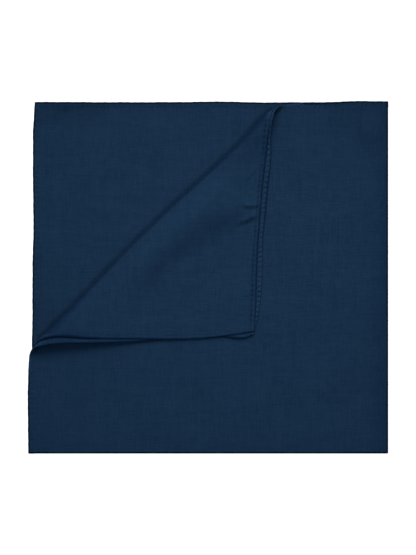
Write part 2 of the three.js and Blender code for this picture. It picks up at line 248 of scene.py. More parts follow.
# The turned corner is puffed up beside the fold and steps down to lie flat further in. Each row: distance
# along the fold, the depths where the step starts and ends, and its height
puffRows = [
    (30, 24, 40, 0.0),
    (64, 21, 38, 1.2),
    (98, 16, 33, 3.0),
    (120, 17, 36, 4.1),
    (140, 18, 40, 4.6),
    (155, 19, 45, 4.7),
    (167, 23, 50, 4.1),
    (176, 30, 54, 3.0),
    (184, 40, 58, 1.4),
    (196, 50, 66, 0.3),
    (206, 56, 70, 0.0),
]
puffColumns = list(zip(*puffRows))
puffCurves = [curveThrough(puffColumns[0], column) for column in puffColumns[1:]]
puffRise = 17.0  # the depth over which the puff rises
flapReliefRise = 16.0  # the depth over which the turned corner's small folds and waves start


def puff(along, depth):
    # the row's height, times a smooth rise beside the fold and a smooth step down further in
    place = np.clip(along, puffRows[0][0], puffRows[-1][0])
    start, end, height = [curve(place) for curve in puffCurves]
    return np.maximum(height, 0) * smoothStep(depth, 0, puffRise) * (1 - smoothStep(depth, start, end))


# start, end, width and height of each soft ridge or trough on the turned corner, the top and the lower layers
flapFolds = [
    ((24.0, 57.4), (30.5, 54.9), 1.6, 0.8),
    ((28.5, 54.9), (36.6, 55.1), 1.6, 1.3),
    ((26.5, 52.8), (36.6, 51.9), 1.5, -0.9),
    ((22.5, 42.4), (30.5, 43.8), 1.8, 0.8),
    ((28.0, 44.2), (36.4, 47.8), 1.7, 1.1),
    ((23.5, 39.2), (36.4, 44.0), 1.6, -0.8),
    ((27.6, 74.2), (35.6, 82.6), 1.6, 0.4),
    ((30.0, 72.8), (36.8, 79.2), 1.6, -0.35),
    ((35.0, 61.8), (38.6, 61.4), 1.1, 0.25),
    ((35.0, 59.8), (38.6, 59.6), 1.1, -0.25),
    ((-58, -14), (-40, -44), 7.0, 0.35),
    ((-30, -6), (-22, -42), 6.0, 0.25),
    ((2, 4), (5, -38), 6.0, 0.2),
    ((12, -47), (36, -42), 5.5, 1.1),
]
topFolds = [
    ((110, 141), (125, 99), 7.0, 2.6),
    ((106, 140), (122, 136), 13.0, 1.5),
    ((74, 148), (134, 148), 24.0, 1.6),
    ((66, 134), (92, 121), 5.0, 0.4),
    ((80, 137.5), (106, 137), 4.0, 2.0),
    ((108, 137.5), (142, 137), 4.0, 0.7),
    ((-120, -92), (-60, -84), 9.0, 0.25),
    ((112, 60), (120, -40), 8.0, 0.3),
    ((-10, -124), (90, -119), 9.0, 0.25),
]
lowerFolds = [
    ((-137, 133), (-76, 138), 9.0, 2.4),
    ((-130, 116), (-110, 119), 4.0, -0.6),
    ((-116, 124), (-104, 127), 3.5, -0.5),
    ((-112, 96), (-84, 104), 7.0, 0.2),
    ((-128, 60), (-110, 30), 7.0, -0.3),
]


reliefs = {  # the folds, and the seed, length and height of the slow waves
    "turned": (flapFolds, (5, 46, 0.14)),
    "top": (topFolds, (11, 52, 0.16)),
    "lower": (lowerFolds, (23, 48, 0.16)),
}


def relief(level, turned, x, y):
    # the slow waves and the ridges of this stretch of the cloth, added up
    if level < 3:
        folds, waves = reliefs["lower"]
    else:
        folds, waves = reliefs["turned" if turned else "top"]
    return swell(x, y, *waves) + sum(ridge(x, y, *fold) for fold in folds)


edgeFade = {"right": (9.0, 0.5), "front": (0.5, 7.0)}  # distances in from where the two folds start to bend


def edgeCalm(x, y):
    # 1 on the flat of the cloth and 0 where the right and front folds round over
    rightStart, rightEnd = [rightFoldX - reach for reach in edgeFade["right"]]
    frontStart, frontEnd = [frontFoldY + reach for reach in edgeFade["front"]]
    return (1 - smoothStep(x, rightStart, rightEnd)) * smoothStep(y, frontStart, frontEnd)


# Places on the layers

def laidPoint(level, x, y, height):
    # the front fold bends a pair of layers together, then the right fold bends layer 1 to 4 round 2 and 3
    overFront = 1 if level % 2 == 0 else -1
    above = 1 if level > 2 else -1
    rightRadius = abs(levelHeight(level) - rightFoldHeight)
    frontTurn = np.maximum(0, (frontFoldY - y) / pairRadius)
    frontRadius = pairRadius + overFront * height
    bentY = np.where(frontTurn > 0, frontFoldY - frontRadius * np.sin(frontTurn), y)
    bentHeight = overFront * (frontRadius * np.cos(frontTurn) - pairRadius)
    rightTurn = np.maximum(0, (x - rightFoldX) / rightRadius)
    radius = rightRadius + above * bentHeight
    bentX = np.where(rightTurn > 0, rightFoldX + radius * np.sin(rightTurn), x)
    return np.stack([bentX, bentY, rightFoldHeight + above * radius * np.cos(rightTurn)], axis=-1)


def rightEndX(level):
    # where a layer's quarter turn round the right fold ends, laid straight
    return rightFoldX + abs(levelHeight(level) - rightFoldHeight) * math.pi / 2


def insideBy(level):
    # layer 4 lies one pitch inside layer 3 in the roll
    return square["pitch"] if level == 4 else 0


def layerInset(level):
    # the lowest layer's edges lie a little inside those of the one above it
    return bottomLayerInset if level == 1 else 0


def rungRows(laidDepths, flapDepths):
    # one row for each rung: which stretch it is on, 0 laid, 1 roll and 2 flap, and its depth or angle
    parts = [laidDepths, rollAngles, flapDepths]
    stretch = np.concatenate([np.full(len(part), i) for i, part in enumerate(parts)])
    return stretch, np.concatenate(parts).astype(float)


def rungEnds(level, stretch, value):
    # where each rung crosses the layer's two open edges, and its front and right folds
    edges = {name: edgeAlong(points) for name, points in upperEdges[level].items()}
    frontLine = edgeAlong([(-halfWidth, frontEndY), (halfWidth, frontEndY)])
    rightLine = edgeAlong([(rightEndX(level), -halfDepth), (rightEndX(level), halfDepth)])
    depth = np.where(stretch == 1, 0, value)
    turn = np.where(stretch == 1, value / math.pi, np.where(stretch == 0, 0, 1))
    left = (1 - turn) * meet(edges["laidLeft"], depth) + turn * meet(edges["flapFront"], depth)
    back = (1 - turn) * meet(edges["laidBack"], depth) + turn * meet(edges["flapRight"], depth)
    front = np.where(stretch == 0, meet(frontLine, depth), -noLimit)
    right = np.where(stretch == 0, meet(rightLine, depth), noLimit)
    return left, back, front, right


def rungPoint(level, stretch, value, along, height):
    # rows of points: height is over the layer's middle, on the side that faces up where it is laid. The laid
    # stretch is flat or round a fold, the roll goes round by its angle, and the flap comes down from the top
    # of the roll by a bell of its depth, with the puff and the relief added
    stretch, value = stretch[:, None], value[:, None]
    depth = np.where(stretch == 1, 0, value)
    brow, radius, settle = foldSection(along)
    inside = insideBy(level)
    low = levelHeight(level)
    roll = radius - inside
    x, y = fromFold(along, rungOut(depth, along))
    laid = laidPoint(level, x, y, height + relief(level, False, x, y) * edgeCalm(x, y))
    reach = roll - height
    angle = np.where(stretch == 1, value, 0)
    rollX, rollY = fromFold(along, brow - radius + reach * np.sin(angle))
    rolled = np.stack([rollX, rollY, low + roll - reach * np.cos(angle)], axis=-1)
    flat = low + 3 * square["pitch"] - 2 * inside
    settled = flat + (low + 2 * roll - flat) * np.exp(-((depth / settle) ** 2))
    fade = smoothStep(depth, 0, flapReliefRise)
    raised = puff(along, depth) + fade * relief(level, True, x, y)
    flap = np.stack([x, y, settled - height + raised], axis=-1)
    stretch = stretch[..., None]
    return np.where(stretch == 0, laid, np.where(stretch == 1, rolled, flap))


def clothPlace(level, stretch, value, along):
    # the same point on the flat, unfolded cloth: the path across the fold is laid out straight
    stretch, value = stretch[:, None], value[:, None]
    depth = np.where(stretch == 1, 0, value)
    brow, radius = foldSection(along)[:2]
    roll = radius - insideBy(level)
    out = rungOut(depth, along)
    path = np.where(stretch == 0, out, np.where(stretch == 1, brow - radius + roll * value, 0))
    path = np.where(stretch == 2, 2 * (brow - radius) + math.pi * roll - out, path)
    x, y = fromFold(along, path)
    return np.stack([x, y], axis=-1)


# Mesh making

def newObject(name, points, faces, maps, material, sharp=40):
    # faces all have the same number of corners; a shell that is inside out is turned
    flat = points.reshape(-1, 3)
    corners = flat[faces]
    middle = flat.mean(axis=0)
    cross = np.cross(corners[:, 1] - corners[:, 0], corners[:, 2] - corners[:, 0])
    cross += np.cross(corners[:, 2] - corners[:, 0], corners[:, -1] - corners[:, 0])
    if (cross * (corners.mean(axis=1) - middle)).sum() < 0:
        faces = faces[:, ::-1]
    mesh = bpy.data.meshes.new(name)
    mesh.vertices.add(len(flat))
    mesh.vertices.foreach_set("co", (flat * millimetre).ravel())
    mesh.loops.add(faces.size)
    mesh.loops.foreach_set("vertex_index", faces.ravel())
    mesh.polygons.add(len(faces))
    mesh.polygons.foreach_set("loop_start", np.arange(len(faces)) * faces.shape[1])
    for key, places in maps.items():
        layer = mesh.uv_layers.new(name=key)
        layer.uv.foreach_set("vector", (places.reshape(-1, 2)[faces.ravel()] * millimetre).ravel())
    mesh.update(calc_edges=True)
    mesh.validate()
    mesh.shade_smooth()
    mesh.set_sharp_from_angle(angle=math.radians(sharp))
    mesh.materials.append(material)
    made = bpy.data.objects.new(name, mesh)
    bpy.context.scene.collection.objects.link(made)
    return made


def gridQuads(rows, columns, first=0, around=False):
    # the four corner numbers of each cell of a grid, which may close on itself along its rows
    i, j = np.meshgrid(np.arange(rows - 1), np.arange(columns if around else columns - 1), indexing="ij")
    following = (j + 1) % columns
    quads = [i * columns + j, i * columns + following, (i + 1) * columns + following, (i + 1) * columns + j]
    return first + np.stack(quads, axis=-1).reshape(-1, 4)


def shellObject(name, upper, lower, maps, material):
    # two grids of points joined round their rim
    rows, columns = upper.shape[:2]
    count = rows * columns
    number = np.arange(count).reshape(rows, columns)
    rim = np.concatenate([number[0, :-1], number[:-1, -1], number[-1, :0:-1], number[:0:-1, 0]])
    after = np.roll(rim, -1)
    sides = np.stack([rim, rim + count, after + count, after], axis=-1)
    faces = np.concatenate([gridQuads(rows, columns), gridQuads(rows, columns, count)[:, ::-1], sides])
    both = {key: np.stack([places, places]) for key, places in maps.items()}
    return newObject(name, np.stack([upper, lower]), faces, both, material)


def tubeFaces(rows, columns):
    # the quads round a tube, and at each end a cap that folds its ring flat on itself
    faces = [gridQuads(rows, columns, around=True)]
    for end, turned in ((0, False), (rows - 1, True)):
        k = np.arange(columns // 2 - 1)
        near, far = end * columns + k, end * columns + columns - 1 - k
        cap = np.stack([near, far, far - 1, near + 1], axis=-1)
        faces.append(cap[:, ::-1] if turned else cap)
    return np.concatenate(faces)


def tubeObject(name, rings, maps, material):
    # rings of points joined into a closed tube
    return newObject(name, rings, tubeFaces(*rings.shape[:2]), maps, material, sharp=55)


# The panels of the four layers

sheetGrid = {
    "endSteps": np.array([0, 0.45, 0.9, 1.35, 1.8, 2.3, 2.9, 3.7, 4.8, 6.4, 8.5]),
    "cornerSteps": np.arange(-0.5, 3.1, 0.5),
    "farSteps": np.array([0.25, 0.7, 1.3, 2]),
    "evenColumns": 170,
    "laidSpacing": 3.6,
    "rollSteps": 20,
    "flapSpacing": 1.05,
    "leastSpacing": 0.12,
    "tipDepths": (60, 125),  # the turned tip lies between these
    "tipHalvings": 40,
    "tipWidth": 0.6,
    "tipMargin": 0.5,
    "lowerSpacing": 2.6,
    "lowerEndScale": 0.7,
}
rollAngles = np.pi * np.arange(1, sheetGrid["rollSteps"]) / sheetGrid["rollSteps"]
tightRadius = 1.6  # the painted line of shade along the fold's brow widens where the roll is rounder than this
rungSlant = math.sqrt(2)  # a rung crosses the edges at half a right angle


def placesBetween(start, end, steps, even):
    # close together at both ends and even between, drawn in where the span is under three of the last step
    scale = np.minimum(1, (end - start) / (3 * steps[-1]))[:, None]
    first, last = start[:, None] + steps * scale, end[:, None] - steps[::-1] * scale
    share = np.linspace(0, 1, even + 2)[1:-1]
    middle = first[:, -1:] + (last[:, :1] - first[:, -1:]) * share
    return np.concatenate([first, middle, last], axis=1)


def lastDepth(level, width):
    # the flap depth at which its two edges come within the given width, found by halving
    wide, narrow = sheetGrid["tipDepths"]
    for turn in range(sheetGrid["tipHalvings"]):
        middle = (wide + narrow) / 2
        left, back = rungEnds(level, np.array([2]), np.array([middle]))[:2]
        wide, narrow = (middle, narrow) if back[0] - left[0] > width else (wide, middle)
    return wide


def depthAt(x, y):
    # the depth of the straight rung through a point
    return -float(toFold((x, y))[1]) - settledRadius


def sortedDepths(*parts):
    # deepest first, without those that are almost the same
    depths = np.unique(np.round(np.concatenate(parts), 3))
    return depths[np.concatenate([[True], np.diff(depths) > sheetGrid["leastSpacing"]])][::-1]


def upperSheet(level, name, material):
    # a row of points for each rung, from the front right corner to the fold, round its roll and to the tip
    underHem = square["underHem"] * rungSlant
    farDepth = depthAt(rightEndX(level), frontEndY)
    leftX = upperEdges[level]["laidLeft"][0][0] + square["underHem"]
    backY = upperEdges[level]["laidBack"][1][1] - square["underHem"]
    corners = [depthAt(leftX, frontEndY), depthAt(rightEndX(level), backY)]
    laid = sortedDepths(
        np.arange(0, farDepth - sheetGrid["farSteps"][-1], sheetGrid["laidSpacing"]),
        farDepth - sheetGrid["farSteps"],
        *[corner - sheetGrid["cornerSteps"] for corner in corners],
    )
    tip = lastDepth(level, 2 * underHem + sheetGrid["tipWidth"])
    flap = np.append(np.arange(0, tip - sheetGrid["tipMargin"], sheetGrid["flapSpacing"]), tip)
    stretch, value = rungRows(laid, flap)
    left, back, front, right = rungEnds(level, stretch, value)
    start, end = np.maximum(left + underHem, front), np.minimum(back - underHem, right)
    along = placesBetween(start, end, sheetGrid["endSteps"], sheetGrid["evenColumns"])
    upper, lower = [rungPoint(level, stretch, value, along, side * square["clothHalf"]) for side in (1, -1)]
    fromLeft, fromBack = (along - left[:, None]) / rungSlant, (back[:, None] - along) / rungSlant
    travels = [
        hemTravel(level, stretch, value, line)[:, None] + distance - square["underHem"]
        for line, distance in ((left + underHem, fromLeft), (back - underHem, fromBack))
    ]
    maps = {
        "cloth": clothPlace(level, stretch, value, along),
        "seam": np.stack([np.where(fromLeft < fromBack, *travels), np.minimum(fromLeft, fromBack)], axis=-1),
        "brow": browPlace(level, stretch, value, along),
        "outline": np.full((*along.shape, 2), farAway),
    }
    return shellObject(name, upper, lower, maps, material)


def browPlace(level, stretch, value, along):
    # how far inside the fold's brow a point of the roll or of the turned corner lies
    stretch, value = stretch[:, None], value[:, None]
    brow, radius = foldSection(along)[:2]
    onRoll = radius - (radius - insideBy(level)) * np.sin(np.where(stretch == 1, value, 0))
    onFlap = brow - rungOut(np.where(stretch == 1, 0, value), along)
    inside = np.where(stretch == 1, onRoll, onFlap) * np.minimum(1, tightRadius / radius)
    return np.stack([np.where(stretch == 0, farAway, inside), np.full_like(inside, farAway)], axis=-1)


def hemTravel(level, stretch, value, along):
    # the way along an open edge of the cloth, from where it starts to roll over
    places = clothPlace(level, stretch, value, along[:, None])[:, 0]
    step = np.linalg.norm(np.diff(places, axis=0), axis=1)
    travel = np.concatenate([[0], np.cumsum(step)])
    return travel - travel[np.argmax(stretch == 1)]


def lowerPoint(level, x, y, height):
    # the laid point with the relief added, or for the lowest layer with its drop to the surface
    if level == 1:
        inset = layerInset(level)
        inside = smoothStep(x - lowerLeft(y) - inset, *bottomDrop)
        inside = inside * smoothStep(lowerBack(x) - inset - y, *bottomDrop)
        rise = (square["clothHalf"] - square["hemHalf"]) * inside * edgeCalm(x, y)
    else:
        rise = relief(level, False, x, y) * edgeCalm(x, y)
    return laidPoint(level, x, y, height + rise)


def lowerSheet(level, name, material):
    # rows from the front fold to the back hem, each from the left hem to the right fold
    inset = layerInset(level)
    panelInset = inset + square["underHem"]
    rows = int(square["depth"] / sheetGrid["lowerSpacing"])
    endSteps = sheetGrid["endSteps"] * sheetGrid["lowerEndScale"]
    rowY = placesBetween(np.array([frontEndY]), np.array([halfDepth]), endSteps, rows)[0]
    share = (rowY - frontEndY) / (halfDepth - frontEndY)
    x = placesBetween(lowerLeft(rowY) + panelInset, np.full(len(rowY), rightEndX(level)), endSteps, rows)
    y = frontEndY + share[:, None] * (lowerBack(x) - panelInset - frontEndY)
    upper, lower = [lowerPoint(level, x, y, side * square["clothHalf"]) for side in (1, -1)]
    fromLeft, fromBack = x - lowerLeft(y) - inset, lowerBack(x) - inset - y
    maps = {
        "cloth": np.stack([x, y], axis=-1),
        "seam": np.stack([np.where(fromLeft < fromBack, y, x), np.minimum(fromLeft, fromBack)], axis=-1),
        "brow": np.stack([np.full_like(x, farAway), outsideBrow(x, y)], axis=-1),
        "outline": np.full((*x.shape, 2), farAway),
    }
    return shellObject(name, upper, lower, maps, material)


# Hems: the edge folded under twice and stitched

hem = {
    "across": np.array([0, 0.06, 0.18, 0.38, 0.9, 1.6, 2.3, 2.8, 3.05, 3.3, 3.55, 3.8, 4.0, 4.2]),
    "spacing": 0.8,
    "roundReach": 6.0,  # near a folded end the rings stand closer
    "roundSpacing": 0.3,
    "bendRings": {"front": 6, "right": 10},
    "stitchLine": 3.3,
    "stitchPitch": 3.9,
    "grooveDepth": 0.2,
    "grooveWidth": 0.42,
    "grooveBeat": (0.7, 0.3),  # the even and the varying share of the groove's depth
    "noseWidth": 0.38,
    "noseLeast": 0.004,
    "innerStep": (3.8, 4.2),
    "endHalf": 0.22,
    "pucker": 0.05,
    "puckerRise": (0.4, 2.2),
    "slackWaves": (1.3, 2.1, 4.7),
    "ripple": 0.05,
    "rippleWaves": (0.9, 2.3, 5.1, 11),
    "rippleFade": 3.0,
    "rippleSeed": 100,
    "mitreLap": 0.5,
    "cornerGap": 0.03,
    "leastRoom": 0.02,
    "tipWidth": 0.5,
    "tipMargin": 0.3,
    "squeeze": (-0.3, 0.5),  # at the tip a hem thins out where it is narrower than this
    # how far the painted line of shade along an edge thins out, by depth from the fold
    "outlineThins": ([0, 9], [2, 0]),
    "lineThins": {
        (4, "left"): ([0, 3], [0.3, 0]),
        (4, "back"): ([0, 9, 18, 34, 45, 85], [2, 1.0, 1.0, 0, 0, 1.2]),
        (3, "left"): ([0, 14, 32], [-1.1, -0.9, 0]),
        (3, "back"): ([0, 8, 70, 105], [2, 0, 0, 0.6]),
    },
    # and by angle round the roll, at its left end
    "lineStarts": {4: ([1.2, 2.4], [2, 0.3]), 3: ([0.9, 2.0], [2, -1.1])},
}


def waves(travel, seed, lengths):
    # a sum of sine waves of the given lengths, started at seeded places
    random = np.random.default_rng(seed)
    return sum(np.sin(travel / length + random.uniform(0, 2 * math.pi)) for length in lengths)


def hemProfile(across, travel, seed):
    # half the hem's thickness: a round outer edge, a groove along the stitches, a step down to the cloth
    share = np.clip(across / hem["noseWidth"], hem["noseLeast"], 1)
    nose = np.sqrt(np.clip(1 - (1 - share) ** 2, 0, 1))
    beat = np.cos(travel * 2 * math.pi / hem["stitchPitch"])
    even, varying = hem["grooveBeat"]
    groove = hem["grooveDepth"] * (even - varying * beat)
    groove = groove * np.exp(-(((across - hem["stitchLine"]) / hem["grooveWidth"]) ** 2))
    slack = waves(travel, seed, hem["slackWaves"]) / len(hem["slackWaves"])
    pucker = hem["pucker"] * (beat * smoothStep(across, *hem["puckerRise"]) + 0.5 * slack - 1)
    inner = smoothStep(across, *hem["innerStep"])
    return nose * ((square["hemHalf"] - groove + pucker) * (1 - inner) + hem["endHalf"] * inner)


def hemPieces(name, seed, pointAt, placeAt, middle, slant, outer, laid, material):
    # pointAt and placeAt take distances from the edge and give points and places on the cloth. middle is the
    # way along the stitch line, and slant how far a ring runs along the hem for each step across it. outer is
    # 0 where the edge is part of the whole outline, laid is 0 where it lies on another layer, and both grow
    # where the painted line of shade along it thins out
    across = hem["across"]
    travel = middle[:, None] + slant * (across - hem["stitchLine"])
    ripple = hem["ripple"] * waves(travel, seed + hem["rippleSeed"], hem["rippleWaves"])
    width = across + ripple * (1 - smoothStep(across, 0, hem["rippleFade"]))
    half = hemProfile(across, travel, seed)
    upper, lower = pointAt(width, half), pointAt(width, -half)
    cloth = placeAt(width)
    seam = np.stack([travel, across + 0 * width], axis=-1)
    rings, cloth, seam = [
        np.concatenate([one, other[:, ::-1]], axis=1)
        for one, other in ((upper, lower), (cloth, cloth), (seam, seam))
    ]
    outline = np.stack([seam[..., 1] + offset[:, None] for offset in (outer, laid)], axis=-1)
    maps = {"cloth": cloth, "seam": seam, "outline": outline, "brow": np.full_like(seam, farAway)}
    made = tubeObject(name, rings, maps, material)
    line = np.full((1, 1), hem["stitchLine"])
    depth = square["hemHalf"] - hem["grooveDepth"]
    sides = [pointAt(line, np.full((1, 1), side * depth))[:, 0] for side in (1, -1)]
    return made, stitchTubes(sides, middle)


stitch = {
    "sections": np.array([-1.4, -1.2, -0.6, 0, 0.6, 1.2, 1.4]),
    "radii": np.array([0.04, 0.1, 0.14, 0.145, 0.14, 0.1, 0.04]),
    "lift": np.array([-0.1, -0.03, 0.05, 0.07, 0.05, -0.03, -0.1]),
    "corners": 6,
    "margin": 3.0,
    "wander": 0.12,
    "probe": 0.3,  # how far ahead and behind the direction of the stitch line is taken
}


def stitchTubes(sides, travel):
    # short tubes along both faces of a hem: each ring stands round the stitch line at its place
    margin = stitch["margin"]
    first = math.ceil((travel[0] + margin) / hem["stitchPitch"]) + 0.5
    middles = np.arange(first * hem["stitchPitch"], travel[-1] - margin, hem["stitchPitch"])
    random = np.random.default_rng(len(middles))
    middles = middles + random.uniform(-stitch["wander"], stitch["wander"], len(middles))
    at, probe = middles[:, None] + stitch["sections"], stitch["probe"]
    tubes = []
    for own, other in (sides, sides[::-1]):
        place, back, ahead, behind = [
            np.stack([np.interp(where, travel, line[:, k]) for k in range(3)], axis=-1)
            for where, line in ((at, own), (at, other), (at + probe, own), (at - probe, own))
        ]
        tangent = ahead - behind
        tangent /= np.linalg.norm(tangent, axis=-1, keepdims=True)
        normal = place - back
        normal /= np.linalg.norm(normal, axis=-1, keepdims=True)
        side = np.cross(tangent, normal)
        turn = np.linspace(0, 2 * math.pi, stitch["corners"], endpoint=False)
        ring = np.cos(turn)[:, None] * side[..., None, :] + np.sin(turn)[:, None] * normal[..., None, :]
        centre = place + normal * stitch["lift"][:, None]
        tubes.append(centre[:, :, None] + ring * stitch["radii"][:, None, None])
    return np.concatenate(tubes)


def stitchObject(name, tubes, material):
    # all the tubes as one mesh, each with the same faces
    count, rows, columns = tubes.shape[:3]
    each = tubeFaces(rows, columns)[None] + (np.arange(count) * rows * columns)[:, None, None]
    return newObject(name, tubes, each.reshape(-1, 4), {"cloth": tubes[..., :2]}, material, sharp=80)


def upperHem(level, side, name, seed, material):
    # follows an edge of an upper layer from the folded end of its laid stretch round the roll to the tip
    left = side == "left"
    sign = 1 if left else -1
    inner = hem["across"][-1]
    edges = upperEdges[level]
    if left:
        farDepth = depthAt(edges["laidLeft"][0][0] + inner, frontEndY)
    else:
        farDepth = depthAt(rightEndX(level), edges["laidBack"][1][1] - inner)
    spacing = hem["spacing"] / rungSlant
    nearEnd = farDepth - hem["roundReach"]
    closer = np.arange(nearEnd, farDepth, hem["roundSpacing"])
    laidDepths = sortedDepths(np.arange(0, nearEnd, spacing), closer)
    tip = lastDepth(level, hem["tipWidth"])
    flapDepths = np.append(np.arange(0, tip - hem["tipMargin"], spacing), tip)
    stretch, value = rungRows(laidDepths, flapDepths)
    leftEnd, backEnd, front, right = [end[:, None] for end in rungEnds(level, stretch, value)]
    edge = leftEnd if left else backEnd
    middle = np.where(stretch[:, None] == 2, (leftEnd + backEnd) / 2, noLimit * sign)
    low, high = (front, middle) if left else (middle, right)

    def alongAt(across):
        return np.clip(edge + sign * rungSlant * across, low, high)

    def pointAt(across, height):
        along = alongAt(across)
        kept = np.abs(along - edge) / rungSlant
        return rungPoint(level, stretch, value, along, height * smoothStep(kept, *hem["squeeze"]))

    def placeAt(across):
        return clothPlace(level, stretch, value, alongAt(across))

    line = (edge + sign * rungSlant * hem["stitchLine"])[:, 0]
    travel = hemTravel(level, stretch, value, line)
    outer = np.where(stretch == 0, np.interp(value, *hem["outlineThins"]), farAway)
    laid = np.where(stretch == 2, np.interp(value, *hem["lineThins"][level, side]), farAway)
    if left:  # at the left end the line starts half way round the roll
        laid = np.where(stretch == 1, np.interp(value, *hem["lineStarts"][level]), laid)
    return hemPieces(name, seed, pointAt, placeAt, travel, 1, outer, laid, material)


def lowerHem(level, side, name, seed, material):
    # follows an edge of a lower layer between its folded end and the mitre at the back left corner
    inset = layerInset(level)
    left = side == "left"
    rings = int(square["depth" if left else "width"] / hem["spacing"])
    if left:
        corner = float(lowerBack(lowerLeft(halfDepth))) - inset - hem["cornerGap"]
        bend = np.linspace(frontEndY, frontFoldY, hem["bendRings"]["front"])[:-1]
        station = np.concatenate([bend, np.linspace(frontFoldY, corner, rings)])
    else:
        corner = float(lowerLeft(lowerBack(-halfWidth))) + inset + hem["cornerGap"]
        bend = np.linspace(rightFoldX, rightEndX(level), hem["bendRings"]["right"])[1:]
        station = np.concatenate([np.linspace(corner, rightFoldX, rings), bend])
    station = station[:, None]

    def spot(across):
        # the two hems meet in a mitre at the back left corner
        if left:
            room = lowerBack(lowerLeft(station)) - inset - station + hem["mitreLap"]
            return lowerLeft(station) + inset + np.minimum(across, room), station + 0 * across
        room = np.maximum(station - lowerLeft(lowerBack(station)) - inset, hem["leastRoom"])
        return station + 0 * across, lowerBack(station) - inset - np.minimum(across, room)

    def pointAt(across, height):
        return lowerPoint(level, *spot(across), height)

    def placeAt(across):
        return np.stack(spot(across), axis=-1)

    none = np.zeros(len(station))
    return hemPieces(name, seed, pointAt, placeAt, station[:, 0], 0, none, none + farAway, material)


# Materials

class Socket:
    # a shader value that sums, products and the like can be made of
    def __init__(self, tree, output):
        self.tree, self.output = tree, output

    def maths(self, operation, *others, reflected=False):
        node = self.tree.nodes.new("ShaderNodeMath")
        node.operation = operation
        values = [self, *others]
        for place, value in enumerate(values[::-1] if reflected else values):
            connect(self.tree, value, node.inputs[place])
        return Socket(self.tree, node.outputs[0])

    def __add__(self, other):
        return self.maths("ADD", other)

    def __sub__(self, other):
        return self.maths("SUBTRACT", other)

    def __rsub__(self, other):
        return self.maths("SUBTRACT", other, reflected=True)

    def __mul__(self, other):
        return self.maths("MULTIPLY", other)

    __radd__ = __add__
    __rmul__ = __mul__


def connect(tree, value, target):
    # a link for a socket, and otherwise a fixed value
    if isinstance(value, Socket):
        tree.links.new(value.output, target)
    else:
        target.default_value = value


class Surface:
    # a material and the one method that adds any node to it
    def __init__(self, name):
        self.material = bpy.data.materials.new(name)
        self.material.use_nodes = True
        self.tree = self.material.node_tree
        self.shader = self.tree.nodes["Principled BSDF"]

    def add(self, kind, settings=None, output=0, **sockets):
        node = self.tree.nodes.new(kind)
        for key, value in (settings or {}).items():
            setattr(node, key, value)
        for key, value in sockets.items():
            connect(self.tree, value, node.inputs[int(key[1:]) if key[1:].isdigit() else key])
        return Socket(self.tree, node.outputs[output])

    def split(self, vector):
        node = self.add("ShaderNodeSeparateXYZ", _0=vector).output.node
        return Socket(self.tree, node.outputs[0]), Socket(self.tree, node.outputs[1])

    def finish(self, values):
        for key, value in values.items():
            connect(self.tree, value, self.shader.inputs[key])
        return self.material


cotton = {
    "colour": (0.00665, 0.0213, 0.0474),
    "deepening": (1.58, 1.0, 0.72),  # the power of the shade that red, green and blue take
    "roughness": 0.92,
    "specular": 0.03,
    "thread": 0.33,  # from one thread to the next
    "wanderScale": 0.11,
    "warpWander": 1.4,
    "weftWander": 1.1,
    "crossing": 0.45,  # the share of a thread's height that it has from going over and under
    "weaveTone": 0.12,
    "plainTone": 0.92,
    "threadJump": 7.3,  # from one thread's place in the noise to the next one's
    "threadScale": 0.045,
    "threadTone": 0.36,
    "slub": {"across": 0.8, "along": 0.12, "offsets": (17, 53), "detail": 4.0},
    "slubTone": 0.32,
    "streak": {"across": 0.16, "along": 0.018, "offsets": (29, 71), "detail": 2.0},
    "streakTone": 0.14,
    "cloudScale": 0.03,
    "cloudTone": 0.12,
    "rimShade": 0.78,  # how dark the painted shade along an open edge is, how wide, and how far it takes to fade
    "rimWidth": 1.8,
    "rimRamp": 0.8,
    "foldShade": 0.9,  # the same painted shade along the right and front folds
    "turnShade": 0.2,  # painted shade beside the right fold, in place of a gentle turn away from the light
    "turnWidth": 15.0,
    "laidShade": 0.43,  # painted crevice shade beside the turned corner's edges
    "laidWidth": 2.0,
    "laidRamp": 1.2,
    "laidMost": 1.9,
    "browShade": 0.62,  # painted shade along the turned corner's fold
    "browWidth": 2.1,
    "seamWidth": 0.9,
    "seamScale": 0.07,
    "seamSwing": 5.0,
    "seamLeast": 0.1,
    "dentDepth": 1.0,
    "dentWidth": 2.0,
    "weaveHeight": 0.06,
    "slubHeight": 0.07,
    "puckerReach": 1.1,
    "driftScale": 0.3,
    "drift": 2.0,
}


